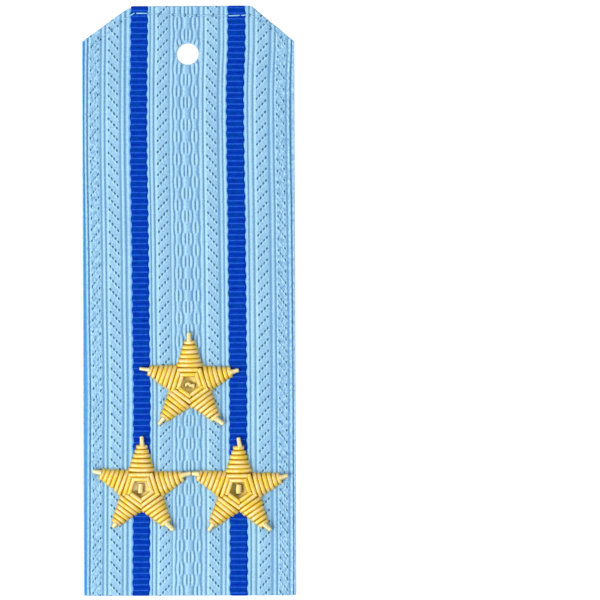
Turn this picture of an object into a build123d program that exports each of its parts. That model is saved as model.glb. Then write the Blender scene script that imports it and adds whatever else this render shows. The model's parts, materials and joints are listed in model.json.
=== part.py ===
from build123d import *

import math
import os
from collections import namedtuple

# A shoulder board with three stars worked in coiled gold wire. It lies on its back:
# X runs across the board, Y towards the end with the button hole, Z up. Millimetres.

# Board
board_length = 139.0
board_width = 50.0
board_thickness = 2.8  # from the back to the crests of the ribs
corner_round = 0.9  # the corners of the outline
edge_round = 0.8  # where the cloth turns over the upper edge
back_edge_round = 0.5
left_cut_across = 10.7
left_cut_along = 8.6
right_cut_across = 9.8
right_cut_along = 8.4
hole_diameter = 5.0
hole_from_end = 11.25

# Weave of the board
rib_height = 0.3
twill_drop = 0.1  # how far the flat bands lie under the crests
twill_bevel = 0.15

# Stripes, let into the weave
stripe_width = 3.88
stripe_offset = 11.515  # from the board's middle line to a stripe's
stripe_thickness = 0.4
stripe_drop = 0.1

# Where the stars stand
star_clearance = 0.26  # between the two lower stars' inner tips, where both are set evenly
lower_star_from_end = 25.0
star_row_gap = 3.2  # from the lower stars' top tips up to the upper star's lower tips

# Strands of a star
ring_strands = 2  # pentagons round the window, the inner one and the outer one
arm_strands = 6
window_apothem = 1.7  # middle of the star to a side of the window
tip_length = 1.73  # past the last strand of the arm
tip_diameter = 1.0
arm_end_half_width = 1.4
arm_base_height = 1.9
arm_end_height = 1.1
strand_groove = 0.25  # how deep the line between two strands is
ring_height = 2.1

# What lies in the window
sequin_thickness = 0.2
sequin_rise = 0.6  # how far its rim stands over its flat middle
sequin_flat_diameter = 1.6
sequin_tuck = 0.55  # how far the rim's pocket reaches under the inner strands
chip_diameter = 0.8

piece_gap = 0.08  # between pieces that lie side by side or on each other

# The bands of the weave. A rib is round, a twill band is flat, and the hem is plain.
# Shares are of the field that the bands fill between them.
Band = namedtuple("Band", "form share")
MIDDLE_FIELD = (  # from the middle line out to the stripe
    Band("rib", 0.077),
    Band("rib", 0.077),
    Band("rib", 0.077),
    Band("rib", 0.076),
    Band("rib", 0.111),
    Band("twill", 0.376),
    Band("rib", 0.104),
    Band("rib", 0.102),
)
SIDE_FIELD = (  # from the stripe out to the long edge
    Band("rib", 0.103),
    Band("rib", 0.095),
    Band("twill", 0.321),
    Band("rib", 0.091),
    Band("twill", 0.256),
    Band("rib", 0.084),
    Band("hem", 0.05),
)

# The bit of coiled wire on each sequin: its length as a share of the window's width,
# and its turn from the Y axis in degrees.
Chip = namedtuple("Chip", "length_share turn")
CHIPS = {
    "star_top": Chip(0.66, 80),
    "star_left": Chip(0.69, 0),
    "star_right": Chip(0.69, 0),
}

# How far each star is sewn off its even place
Shift = namedtuple("Shift", "across along")
STAR_SHIFTS = {
    "star_top": Shift(0.14, 0.07),
    "star_left": Shift(0.17, 0.43),
    "star_right": Shift(0.09, 0.1),
}

SIDES = 5
SECTOR = 360 / SIDES
LEAN = math.radians(90 - SECTOR)  # the side arms rise by this much

# The two lower stars stand on the stripes and nearly meet on the middle line.
star_half_width = stripe_offset - star_clearance / 2
star_reach = star_half_width / math.cos(LEAN)
lower_star_y = lower_star_from_end - board_length / 2
upper_star_y = lower_star_y + star_reach + star_row_gap + star_reach * math.cos(math.radians(SECTOR / 2))
EVEN_PLACES = {
    "star_top": (0.0, upper_star_y),
    "star_left": (-stripe_offset, lower_star_y),
    "star_right": (stripe_offset, lower_star_y),
}
STARS = {
    star: (x + STAR_SHIFTS[star].across, y + STAR_SHIFTS[star].along)
    for star, (x, y) in EVEN_PLACES.items()
}

arm_end = star_reach - tip_length
strand_pitch = (arm_end - window_apothem) / (ring_strands + arm_strands)
arm_start = window_apothem + ring_strands * strand_pitch
arm_base_half_width = arm_start * math.tan(math.radians(SECTOR / 2)) - piece_gap

groove_z = board_thickness - rib_height
twill_z = board_thickness - twill_drop
stripe_top = board_thickness - stripe_drop
star_seat = board_thickness + piece_gap


def board_outline():
    """The board seen from above, with its two cut corners."""
    half_width = board_width / 2
    half_length = board_length / 2
    corners = Polyline(
        (-half_width, -half_length),
        (half_width, -half_length),
        (half_width, half_length - right_cut_along),
        (half_width - right_cut_across, half_length),
        (-half_width + left_cut_across, half_length),
        (-half_width, half_length - left_cut_along),
        close=True,
    )
    outline = make_face(corners)
    return fillet(outline.vertices(), corner_round)


def board_envelope():
    """The plain board with turned edges, before the weave is cut into it."""
    plate = extrude(board_outline(), board_thickness)
    upper = min(edge_round, 0.45 * board_thickness)
    lower = min(back_edge_round, 0.45 * board_thickness)
    plate = fillet(plate.faces().sort_by(Axis.Z)[-1].edges(), upper)
    return fillet(plate.faces().sort_by(Axis.Z)[0].edges(), lower)


def band_edges(form, start, end):
    """The top of one band in the section, from one groove to the next."""
    if form == "rib":
        middle = (start + end) / 2
        return [ThreePointArc((start, groove_z), (middle, board_thickness), (end, groove_z))]
    if form == "hem":
        return [Line((start, groove_z), (end, groove_z))]
    bevel = math.copysign(twill_bevel, end - start)
    return Polyline(
        (start, groove_z),
        (start + bevel, twill_z),
        (end - bevel, twill_z),
        (end, groove_z),
    ).edges()


def field_edges(bands, start, end):
    """The bands of one field side by side."""
    edges = []
    total = sum(band.share for band in bands)
    here = start
    for band in bands:
        there = here + (end - start) * band.share / total
        edges += band_edges(band.form, here, there)
        here = there
    return edges


def half_section(side):
    """The top of the section from the middle line to the edge, on the side +1 or -1."""
    inner = side * (stripe_offset - stripe_width / 2)
    outer = side * (stripe_offset + stripe_width / 2)
    edge = side * board_width / 2
    bed = stripe_top - stripe_thickness - piece_gap
    channel = Polyline((inner, groove_z), (inner, bed), (outer, bed), (outer, groove_z))
    return [
        *field_edges(MIDDLE_FIELD, 0, inner),
        *channel.edges(),
        *field_edges(SIDE_FIELD, outer, edge),
        Line((edge, groove_z), (edge, 0)),
    ]


def galloon():
    """The board itself: its woven face has ribs and flat bands along its whole length."""
    back = Line((-board_width / 2, 0), (board_width / 2, 0))
    section = make_face(Curve() + [*half_section(1), *half_section(-1), back])
    ribbed = extrude(Plane.XZ * section, board_length / 2, both=True)
    hole_y = board_length / 2 - hole_from_end
    hole = Pos(0, hole_y, board_thickness / 2) * Cylinder(hole_diameter / 2, 2 * board_thickness)
    return (ribbed & board_envelope()) - hole


def stripe(side):
    """A dark band in its channel, cut to the board's ends."""
    width = stripe_width - 2 * piece_gap
    middle_z = stripe_top - stripe_thickness / 2
    band = Pos(side * stripe_offset, 0, middle_z) * Box(width, board_length, stripe_thickness)
    return band & board_envelope()


def arm_strand(inner, outer, half_width, height):
    """One strand across an arm: a slice of a round bar that lies partly under the seat."""
    depth = (half_width**2 - height**2) / (2 * height)
    crest = depth + height
    edge = crest - strand_groove
    middle = (inner + outer) / 2
    profile = Curve() + [
        Line((outer, 0), (inner, 0)),
        Line((inner, 0), (inner, edge)),
        ThreePointArc((inner, edge), (middle, crest), (outer, edge)),
        Line((outer, edge), (outer, 0)),
    ]
    return Pos(0, 0, -depth) * revolve(Plane.XZ * make_face(profile), Axis.X)


def star_arm():
    """An arm along X, its strands side by side and narrower towards its end."""
    start = arm_start + piece_gap
    pitch = (arm_end - start) / arm_strands
    strands = []
    for index in range(arm_strands):
        share = (index + 0.5) / arm_strands
        half_width = arm_base_half_width + share * (arm_end_half_width - arm_base_half_width)
        height = arm_base_height + share * (arm_end_height - arm_base_height)
        inner = start + index * pitch
        strands.append(arm_strand(inner, inner + pitch, half_width, height))
    body = strands[0].fuse(*strands[1:])
    size = 2 * star_reach
    above = Pos(arm_end / 2, 0, size / 2) * Box(size, size, size)
    return body & above


def star_tip():
    """The strand at the point of an arm, along X, with round ends."""
    start = arm_end + piece_gap
    radius = tip_diameter / 2
    rod = Cylinder(radius, star_reach - start, rotation=(0, 90, 0))
    rod = fillet(rod.edges().filter_by(GeomType.CIRCLE), 0.6 * radius)
    return Pos((start + star_reach) / 2, 0, radius) * rod


def pentagon_ring(profile):
    """A closed ring of five straight strands, mitred where they meet."""
    reach = 2 * arm_start
    half = reach * math.tan(math.radians(SECTOR / 2))
    wedge = extrude(make_face(Polyline((0, 0), (reach, -half), (reach, half), close=True)), reach)
    bar = extrude(Plane.XZ * profile, half, both=True) & wedge
    sides = [Rot(0, 0, 90 + SECTOR * index) * bar for index in range(SIDES)]
    return sides[0].fuse(*sides[1:])


def ring_profile(inner, outer, foot, pocket):
    """The section of a ring: upright sides and a round back, cut away below up to the pocket."""
    shoulder = ring_height - strand_groove
    middle = (inner + outer) / 2
    outline = Curve() + [
        Line((outer, 0), (outer, shoulder)),
        ThreePointArc((outer, shoulder), (middle, ring_height), (inner, shoulder)),
        Line((inner, shoulder), (inner, pocket)),
        Line((foot, 0), (outer, 0)),
    ]
    if pocket > 0:
        outline += Polyline((inner, pocket), (foot, pocket), (foot, 0))
    return make_face(outline)


def ring_outer():
    inner = window_apothem + (ring_strands - 1) * strand_pitch + piece_gap / 2
    outer = arm_start - piece_gap / 2
    return pentagon_ring(ring_profile(inner, outer, inner, 0))


def ring_inner():
    """The ring round the window, open below so that the sequin's rim lies under it."""
    outer = window_apothem + strand_pitch - piece_gap / 2
    pocket = 2 * piece_gap + sequin_rise + sequin_thickness
    foot = window_apothem + sequin_tuck
    return pentagon_ring(ring_profile(window_apothem, outer, foot, pocket))


def sequin():
    """A shallow cup with a flat middle."""
    rim = window_apothem + sequin_tuck - piece_gap
    flat = sequin_flat_diameter / 2
    cup = Polyline(
        (0, piece_gap),
        (flat, piece_gap),
        (rim, piece_gap + sequin_rise),
        (rim, piece_gap + sequin_rise + sequin_thickness),
        (flat, piece_gap + sequin_thickness),
        (0, piece_gap + sequin_thickness),
        close=True,
    )
    return revolve(Plane.XZ * make_face(cup), Axis.Z)


def chip(length_share, turn):
    """A short bit of coiled wire across the sequin's flat middle."""
    radius = chip_diameter / 2
    length = length_share * 2 * window_apothem
    rod = Cylinder(radius, length, rotation=(90, 0, 0))
    rod = fillet(rod.edges().filter_by(GeomType.CIRCLE), 0.6 * radius)
    rise = 2 * piece_gap + sequin_thickness + radius
    # Past the flat middle the cup rises, so a rod that is longer than that lies higher.
    overhang = max(0, length / 2 - 0.6 * radius - sequin_flat_diameter / 2)
    slope = sequin_rise / (window_apothem + sequin_tuck - piece_gap - sequin_flat_diameter / 2)
    return Pos(0, 0, rise + overhang * slope) * Rot(0, 0, turn) * rod


def build():
    """Every piece by its name, where it lies on the board."""
    pieces = {
        "galloon": galloon(),
        "stripe_left": stripe(-1),
        "stripe_right": stripe(1),
    }
    arm = star_arm()
    tip = star_tip()
    middle_parts = {"ring_outer": ring_outer(), "ring_inner": ring_inner(), "sequin": sequin()}
    for star, (x, y) in STARS.items():
        place = Pos(x, y, star_seat)
        for index in range(SIDES):
            turn = Rot(0, 0, 90 + SECTOR * index)
            pieces[f"{star}_arm_{index + 1}"] = place * turn * arm
            pieces[f"{star}_tip_{index + 1}"] = place * turn * tip
        for name, shape in middle_parts.items():
            pieces[f"{star}_{name}"] = place * shape
        pieces[f"{star}_chip"] = place * chip(*CHIPS[star])
    return pieces


os.makedirs("parts", exist_ok=True)
for name, shape in build().items():
    export_step(shape, f"parts/{name}.step")
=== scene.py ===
import json
import math
from collections import namedtuple
from functools import partialmethod

import bmesh
import bpy
import numpy as np
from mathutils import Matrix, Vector


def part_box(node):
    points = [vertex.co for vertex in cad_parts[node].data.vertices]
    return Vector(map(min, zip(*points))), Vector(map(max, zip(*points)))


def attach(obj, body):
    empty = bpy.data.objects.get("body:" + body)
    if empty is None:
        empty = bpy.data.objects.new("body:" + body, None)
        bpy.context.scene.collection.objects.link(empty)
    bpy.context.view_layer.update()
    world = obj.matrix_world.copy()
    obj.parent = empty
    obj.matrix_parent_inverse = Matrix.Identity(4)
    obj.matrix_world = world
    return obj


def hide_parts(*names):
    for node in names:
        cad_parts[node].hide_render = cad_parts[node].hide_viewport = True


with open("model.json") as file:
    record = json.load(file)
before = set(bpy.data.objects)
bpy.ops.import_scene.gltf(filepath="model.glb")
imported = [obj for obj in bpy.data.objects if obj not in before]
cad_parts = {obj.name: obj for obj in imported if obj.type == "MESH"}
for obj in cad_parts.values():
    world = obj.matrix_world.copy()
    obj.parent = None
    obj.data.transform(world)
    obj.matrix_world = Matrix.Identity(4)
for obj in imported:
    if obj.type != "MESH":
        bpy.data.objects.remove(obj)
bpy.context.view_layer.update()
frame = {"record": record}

# The meshes are worked out in millimetres and made in metres.
MM = 0.001
RNG = np.random.default_rng(20)


def corners_of(node):
    """A node's low and high corner in the frame, in millimetres."""
    return [np.array(corner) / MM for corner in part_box(node)]


def middle_of(node):
    low, high = corners_of(node)
    return (low + high) / 2


# Where the board lies, from the frame
HALF_WIDTH, HALF_LENGTH, CREST_Z = corners_of("galloon")[1]
STRIPE_OFFSET = middle_of("stripe_right")[0]
HOLE = next(m for m in frame["record"]["mounts"] if m["name"] == "button_hole")
HOLE_SHIFT = (-0.10, -0.20)  # the punch wandered a little
HOLE_GIVE = 0.08  # how far the cloth gave way round it
HOLE_XY = np.array(HOLE["pos_m"][:2]) / MM + HOLE_SHIFT
HOLE_RADIUS = HOLE["dims"]["r_mm"] + HOLE_GIVE

# The board's outline and edges
TOP_END = HALF_LENGTH - 0.17  # the cloth is drawn in a little at both ends
BOTTOM_END = -HALF_LENGTH + 0.12
LEFT_CUT = (11.45, 8.37)  # across and along
RIGHT_CUT = (9.95, 8.4)
LEFT_CORNER = 0.4  # how much is rounded off where the left cut meets the end
RIGHT_CORNER = 0.02
EDGE_ROUND = 0.35
BACK_ROUND = 0.5
CORNER_SPREAD = 0.4  # over how much of the edge a corner turns

# The weave
RIB_HEIGHT = 0.3
GROUND_Z = CREST_Z - RIB_HEIGHT
STRIPE_WIDTH = 3.88
BED_DEPTH = 0.55  # of the channel under a stripe
PERIOD = 2.671  # along the board, of the twill and of the scalloped stripe edges
CABLE_PERIOD = 2 * PERIOD
CABLE_OPENS = 19.87  # the y of a place where the middle cords part
CABLE_SLOTS = (0.42, 2.08)  # how far out the slots between its cords lie
CABLE_SWING = 0.085  # how far the edges of the cable swing
SCALLOP = 0.12  # how far the edges of the stripes swing
SCALLOP_OUT = 19.16  # the y of a place where they swing outwards
TWILL_COLUMNS = 4
TWILL_RISE = 0.73  # along the board from one pinhole to the next
TWILL_PITCH = 0.65  # across the board from one column of pinholes to the next
TWILL_MARGIN = (0.165, 0.11)  # shares of a band without pinholes, on its left and right side
STRIPE_RIB = PERIOD / 2  # along the board from one cross rib to the next
WEFT_PITCH = 0.335
WARP_PITCH = 0.31
STRIPE_BEAD = 0.26
EDGE_GROOVE = 24.42  # how far out the deep groove beside each long edge lies
EDGE_RIB = 0.9  # round the turned edge from that groove to the next


# Helpers

def smooth(value):
    value = np.clip(value, 0, 1)
    return value * value * (3 - 2 * value)


def bell(away, width):
    """1 at no distance, falling off to both sides."""
    return np.exp(-(away / width) ** 2)


def unit(vectors):
    return vectors / np.linalg.norm(vectors, axis=1)[:, None]


def read_table(x, table, column=1):
    """The value at x between the rows of a table, whose first column holds the places."""
    rows = np.array(table)
    return np.interp(x, rows[:, 0], rows[:, column])


def add_object(name, data):
    made = bpy.data.objects.new(name, data)
    bpy.context.scene.collection.objects.link(made)
    return made


def stand_in(made, node):
    """Shows a piece in place of a node."""
    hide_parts(node)
    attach(made, "root")


# Camera and lights

PIXEL = 0.2349  # millimetres to a pixel of the photograph
PHOTO_SIZE = 600
BOARD_MIDDLE_PIXEL = (188.8, 300.3)
LENS = 200
SENSOR = 36
BOARD_TILT = -0.20  # degrees


def make_camera():
    """Looks straight down, with the board where the photograph has it."""
    across = (PHOTO_SIZE / 2 - BOARD_MIDDLE_PIXEL[0]) * PIXEL * MM
    along = (BOARD_MIDDLE_PIXEL[1] - PHOTO_SIZE / 2) * PIXEL * MM
    height = PHOTO_SIZE * PIXEL * MM * LENS / SENSOR + CREST_Z * MM
    data = bpy.data.cameras.new("camera")
    data.lens = LENS
    data.sensor_width = SENSOR
    data.clip_start = 0.01
    data.clip_end = 10
    camera = add_object("camera", data)
    camera.location = (across, along, height)
    camera.rotation_euler = (0, 0, math.radians(BOARD_TILT))
    bpy.context.scene.camera = camera


def area_light(name, place, size, power):
    """A round light that shines on the board's middle, in metres and watts."""
    data = bpy.data.lights.new(name, "AREA")
    data.shape = "DISK"
    data.size = size
    data.energy = power
    light = add_object(name, data)
    light.location = place
    light.rotation_euler = (-Vector(place)).to_track_quat("-Z", "Y").to_euler()


def make_lights():
    area_light("key", (-0.55, -0.32, 0.62), 0.55, 6.4)
    area_light("fill", (0.4, 0.5, 0.8), 0.7, 1.6)
    world = bpy.data.worlds.new("studio")
    bpy.context.scene.world = world
    world.use_nodes = True
    background = world.node_tree.nodes["Background"]
    background.inputs["Color"].default_value = (1, 1, 1, 1)
    background.inputs["Strength"].default_value = 0.6


# Materials. A colour is linear red, green and blue.

class Value:
    """An output of a node. Arithmetic on it makes a math node and gives that node's output."""

    def __init__(self, nodes, socket):
        self.nodes = nodes
        self.socket = socket

    def apply(self, operation, *others):
        return self.nodes.add("ShaderNodeMath", enumerate((self, *others)), operation=operation)

    __add__ = partialmethod(apply, "ADD")
    __sub__ = partialmethod(apply, "SUBTRACT")
    __mul__ = partialmethod(apply, "MULTIPLY")
    __truediv__ = partialmethod(apply, "DIVIDE")
    __gt__ = partialmethod(apply, "GREATER_THAN")
    __lt__ = partialmethod(apply, "LESS_THAN")
    __abs__ = partialmethod(apply, "ABSOLUTE")
    fraction = partialmethod(apply, "FRACT")

    def sine(self, period):
        return (self * (2 * math.pi / period)).apply("SINE")

    def cosine(self, period):
        return (self * (2 * math.pi / period)).apply("COSINE")

    def ramp(self, low, high, to_low=0.0, to_high=1.0):
        """Goes smoothly from to_low to to_high while the value goes from low to high."""
        inputs = {"Value": self, "From Min": low, "From Max": high, "To Min": to_low, "To Max": to_high}
        return self.nodes.add("ShaderNodeMapRange", inputs, interpolation_type="SMOOTHSTEP")

    def noise(self, scale, detail):
        inputs = {"Vector": self, "Scale": scale, "Detail": detail}
        return self.nodes.add("ShaderNodeTexNoise", inputs, output="Fac")

    def split(self):
        """The three parts of a vector."""
        separated = self.nodes.add("ShaderNodeSeparateXYZ", {0: self})
        return [Value(self.nodes, socket) for socket in separated.socket.node.outputs]


class Nodes:
    """Makes a material's nodes."""

    def __init__(self, name):
        self.material = bpy.data.materials.new(name)
        self.material.use_nodes = True
        self.tree = self.material.node_tree
        self.shader = self.tree.nodes["Principled BSDF"]

    def add(self, kind, inputs=(), output=0, **settings):
        node = self.tree.nodes.new(kind)
        for key, value in settings.items():
            setattr(node, key, value)
        for key, value in dict(inputs).items():
            self.put(node.inputs[key], value)
        return Value(self, node.outputs[output])

    def put(self, socket, value):
        """Links a value to a socket, or sets a number or a colour on it."""
        if isinstance(value, Value):
            self.tree.links.new(value.socket, socket)
        else:
            socket.default_value = (*value, 1) if isinstance(value, tuple) else value

    def attribute(self, name, output="Fac"):
        return self.add("ShaderNodeAttribute", output=output, attribute_name=name)

    def place(self):
        return self.add("ShaderNodeTexCoord", output="Object")

    def join(self, x, y, z):
        return self.add("ShaderNodeCombineXYZ", {0: x, 1: y, 2: z})

    def mix(self, share, first, second):
        """A blend of two colours. These are the mix node's sockets for colours."""
        return self.add("ShaderNodeMix", {0: share, 6: first, 7: second}, output=2, data_type="RGBA")

    def show(self, **sockets):
        """Puts values on the shader's sockets and gives the material."""
        for name, value in sockets.items():
            self.put(self.shader.inputs[name.replace("_", " ")], value)
        return self.material

    def finish(self, colour, roughness, height, depth, **sockets):
        """Shows a colour and a bump, whose depth is in metres."""
        bump = self.add("ShaderNodeBump", {"Height": height, "Distance": depth})
        return self.show(Base_Color=colour, Roughness=roughness, Normal=bump, **sockets)


FLOOR_GAP = 0.02  # keeps the floor and the board's back from lying in one plane
FLOOR_REACH = 3.0  # metres
FLOOR_GREY = (0.25, 0.25, 0.25)
FLOOR_GLOW = 0.86


def make_floor():
    """A white table that is lit from within, so the board throws next to no shadow on it."""
    data = bpy.data.meshes.new("floor")
    reach, z = FLOOR_REACH, -FLOOR_GAP * MM
    data.from_pydata([(-reach, -reach, z), (reach, -reach, z), (reach, reach, z), (-reach, reach, z)], [],
                     [(0, 1, 2, 3)])
    n = Nodes("floor")
    data.materials.append(n.show(Base_Color=FLOOR_GREY, Roughness=1.0, Specular_IOR_Level=0.0,
                                 Emission_Color=(1, 1, 1), Emission_Strength=FLOOR_GLOW))
    add_object("floor", data)


# The ribbon's blues. The crest blue holds painted light; the groove, slot and pinhole blues and the deepest
# blue hold painted shade, over the ribbon's own colour.
SHADED_GROOVE_BLUE = (0.14, 0.33, 0.56)
LIT_CREST_BLUE = (0.43, 0.72, 0.92)
SHADED_SLOT_BLUE = (0.09, 0.25, 0.44)
SHADED_PINHOLE_BLUE = (0.045, 0.17, 0.31)
DEEPEST_SHADE_BLUE = (0.075, 0.225, 0.48)
REFLECTED_BLUE = (0.11, 0.42, 0.98)
LEFT_EDGE_BLUE = (0.13, 0.47, 0.90)


def ribbon_material():
    """Light blue silk ribbon: painted light on the crests and painted shade in the grooves, after its light
    attribute, with pinholes in the twill.
    """
    n = Nodes("ribbon")
    painted_light = n.attribute("light")
    column, row, lean = n.attribute("twill", "Vector").split()
    place = n.attribute("weave", "Vector")
    across, along, faint = place.split()
    inside = (column > 0.0) * (column < TWILL_COLUMNS) * abs(lean)
    # The middle columns of the outermost bands are faint, and here and there they are missing
    patchy = place.noise(0.55, 2.0).ramp(0.40, 0.60, 0.75, 0.10)
    dropped = (column > 1.0) * (column < TWILL_COLUMNS - 1.0) * faint * patchy

    def spots(column_shift, row_shift, half_wide, half_tall, slant):
        """How far a point is from the nearest spot of the twill, as a share of the spot's size."""
        dx = (column + column_shift).fraction() - 0.5
        dy = (row + row_shift).fraction() - 0.5
        up = dy * PERIOD + lean * TWILL_RISE * dx
        sideways = (dx * TWILL_PITCH - lean * slant * up) / half_wide
        up = up / half_tall
        return (sideways * sideways + up * up).apply("SQRT")

    # A pinhole in each cell of the twill, darkened with painted shade, and a thread that comes up beside
    # it, paler with a painted highlight
    size = place.noise(1.3, 1.0).ramp(0.25, 0.75, 0.8, 1.15)
    hole = (spots(0.0, 0.0, 0.22, 0.33, 0.15) / size).ramp(0.7, 1.2, 1.0, 0.0) * inside
    hole = hole - hole * dropped
    raised = spots(0.5, 0.17, 0.22, 0.36, 0.4).ramp(0.4, 1.2, 1.0, 0.0) * inside

    # The slots between the cable's cords, darkened with painted shade
    half = abs(across)
    wave = (along - CABLE_OPENS).cosine(CABLE_PERIOD)
    inner, outer = (abs(half - out).ramp(0.04, 0.17, 1.0, 0.0) for out in CABLE_SLOTS)
    slot = inner * wave.ramp(-0.05, 0.25) + outer * (wave * -1.0).ramp(-0.05, 0.25)

    # Cross threads bead the ribs, and finer ones run along them
    beads = along.sine(WEFT_PITCH) * painted_light.ramp(0.2, 0.9)
    warp = across.sine(WARP_PITCH)
    fine = n.join(across, along * 0.5, 0.0).noise(3.4, 3.0)
    blotch = (n.join(across, along * 0.5, 5.0).noise(2.2, 3.0) - 0.5) * faint
    cloud = place.noise(0.09, 2.0)
    light = (painted_light * 0.92 + raised * 0.75 + fine * 0.8 + beads * 0.10 + warp * 0.04 + cloud * 0.25
             + blotch * 1.9 - 0.61)
    # Painted light and shade: paler where the light attribute is high, deeper where it is low
    colour = n.mix(light.ramp(-0.05, 1.05), SHADED_GROOVE_BLUE, LIT_CREST_BLUE)
    colour = n.mix(slot * 0.75, colour, SHADED_SLOT_BLUE)
    colour = n.mix(hole, colour, SHADED_PINHOLE_BLUE)
    # The deepest painted shade, where the light attribute drops below zero
    colour = n.mix(painted_light.ramp(-0.45, 0.0, 1.0, 0.0), colour, DEEPEST_SHADE_BLUE)
    # Beside a stripe it takes on some of the stripe's blue, a painted reflection, with painted shade on the
    # rib's flank
    past_stripe = abs(half - STRIPE_OFFSET) - STRIPE_WIDTH / 2
    beside = past_stripe.ramp(0.12, 0.55, 0.9, 0.0) * (past_stripe > -0.05)
    colour = n.mix(beside, colour, REFLECTED_BLUE)
    # The left edge is a stronger blue
    leftmost = across.ramp(-24.3, -23.7, 0.55, 0.0) * across.ramp(-25.5, -25.1)
    colour = n.mix(leftmost, colour, LEFT_EDGE_BLUE)
    height = beads * 0.25 + warp * 0.10 + fine * 0.8 + raised * 0.9 - hole * 2.4 - slot
    return n.finish(colour, 0.6, height, 0.00007, Sheen_Weight=0.08, Sheen_Roughness=0.5,
                    Specular_IOR_Level=0.2)


SILK_DEEP = (0.0, 0.012, 0.27)
SILK_PALE = (0.0, 0.058, 0.52)
SILK_GREENER = (0.0, 0.058, 0.33)
SILK_LINE = (0.026, 0.155, 0.88)
SILK_SHADED = (0.0, 0.032, 0.22)


def stripe_material():
    """Dark blue silk with thin paler lines where the cross ribs meet."""
    n = Nodes("stripe_silk")
    across, along, _ = n.attribute("weave", "Vector").split()
    from_middle = across - across.apply("SIGN") * STRIPE_OFFSET
    threads = across.sine(STRIPE_BEAD)
    rib = along / STRIPE_RIB
    from_line = abs((rib + 0.5).fraction() - 0.5)
    broken = n.join(across * 2.2, along * 2.0, 0.0).noise(1.0, 2.0)
    line = from_line.ramp(0.05, 0.19, 1.0, 0.0) * broken.ramp(0.2, 0.6, 0.45, 1.0)
    line = line * (threads * 0.45 + 0.60)
    # Finer lines between
    between = rib.cosine(1 / 3)
    deep = n.join(across * 0.5, along * 1.6, 3.0).noise(1.0, 3.0)
    tone = deep + between * 0.22 + threads * 0.36
    colour = n.mix(tone.ramp(0.3, 0.75), SILK_DEEP, SILK_PALE)
    # Every other rib is a shade greener in places
    other = (rib * 0.5).fraction() > 0.5
    patches = n.join(across * 0.8, along * 0.8, 7.0).noise(1.0, 2.0)
    colour = n.mix(other * patches.ramp(0.40, 0.62, 0.0, 0.55), colour, SILK_GREENER)
    colour = n.mix(line, colour, SILK_LINE)
    # Painted shadow darkens the right edge, and the left one a little
    half = STRIPE_WIDTH / 2
    right_shadow = from_middle.ramp(half - 0.45, half - 0.10, 0.0, 0.6)
    left_shadow = from_middle.ramp(0.10 - half, 0.30 - half, 0.15, 0.0)
    colour = n.mix(right_shadow.apply("MAXIMUM", left_shadow), colour, SILK_SHADED)
    height = threads * -0.5 - between * 0.5 - broken * 0.6
    return n.finish(colour, 0.6, height, 0.00004, Specular_IOR_Level=0.02)


BACKING_THREAD = 0.00045


def backing_material():
    """Plain tabby cloth for the back."""
    n = Nodes("backing_cloth")
    place = n.place()
    x, y, _ = place.split()
    weave = x.sine(BACKING_THREAD) * y.sine(BACKING_THREAD)
    fuzz = place.noise(900.0, 4.0)
    colour = n.mix((fuzz + weave * 0.1).ramp(0.3, 0.7), (0.16, 0.36, 0.58), (0.27, 0.52, 0.74))
    colour = n.mix(place.noise(60.0, 2.0) * 0.3, colour, (0.20, 0.42, 0.62))
    return n.finish(colour, 0.85, weave + fuzz, 0.00006, Sheen_Weight=0.3)


def cut_edge_material():
    """The punched wall of the button hole: ribbon ends over a pale stiff core."""
    n = Nodes("cut_edge")
    place = n.place()
    fibre = place.noise(2500.0, 3.0)
    level = place.split()[2] + (fibre - 0.5) * 0.0006
    ribbon = level.ramp(0.0019, 0.0021).apply("MAXIMUM", level.ramp(0.0005, 0.0004))
    colour = n.mix(ribbon, (0.62, 0.66, 0.70), (0.30, 0.62, 0.86))
    colour = n.mix(fibre * 0.4, colour, (0.16, 0.36, 0.56))
    return n.finish(colour, 0.9, fibre, 0.0001)


# The shades of a gilt wire: two of its crest, its flanks' and the one between strands; those of the flanks
# and between strands are painted shade. The mottle is how much a worn shade shows in places.
Gilt = namedtuple("Gilt", "name pale deep flanks between roughness mottle")
DEEP_FLANK_SHADE = (0.85, 0.53, 0.008), (0.44, 0.21, 0.0)
PALE_FLANK_SHADE = (0.70, 0.58, 0.26), (0.42, 0.30, 0.10)
WORN_GILT = (0.74, 0.60, 0.20)
GILTS = (
    Gilt("gold_purl", (0.88, 0.69, 0.37), (0.83, 0.62, 0.09), *DEEP_FLANK_SHADE, 0.42, 0.0),
    Gilt("pale_purl", (0.84, 0.80, 0.48), (0.90, 0.74, 0.44), *PALE_FLANK_SHADE, 0.40, 0.6),
    Gilt("chip_purl", (0.88, 0.71, 0.42), (0.82, 0.72, 0.20), *PALE_FLANK_SHADE, 0.40, 0.4),
)


def gold_material(gilt):
    """Gilt coiled wire, with a shade for each strand and painted shade on its flanks and between strands.
    """
    n = Nodes(gilt.name)
    flank = n.attribute("flank")
    place = n.place()
    patch = place.noise(700.0, 2.0)
    tone = n.attribute("shade") * 0.13 + patch * 0.87
    colour = n.mix(tone.ramp(0.33, 0.67), gilt.pale, gilt.deep)
    colour = n.mix(place.noise(2300.0, 1.0).ramp(0.46, 0.60) * gilt.mottle, colour, WORN_GILT)
    # Painted shade down each strand's flanks and in the lines between strands
    colour = n.mix(flank.ramp(0.09, 0.37) * 0.75, colour, gilt.flanks)
    colour = n.mix(flank.ramp(0.44, 0.54) * 0.9, colour, gilt.between)
    grain = place.noise(5000.0, 2.0)
    return n.finish(colour, patch * 0.14 + gilt.roughness, grain, 0.000012, Metallic=0.5,
                    Specular_IOR_Level=0.1)


SEQUIN_GOLD = (0.78, 0.58, 0.10), (0.98, 0.79, 0.21)
SEQUIN_REFLECTION = (1.0, 0.85, 0.42)
SEQUIN_BROWN = (0.56, 0.34, 0.07)
SEQUIN_SHADE = (0.20, 0.165, 0.055)


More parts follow.
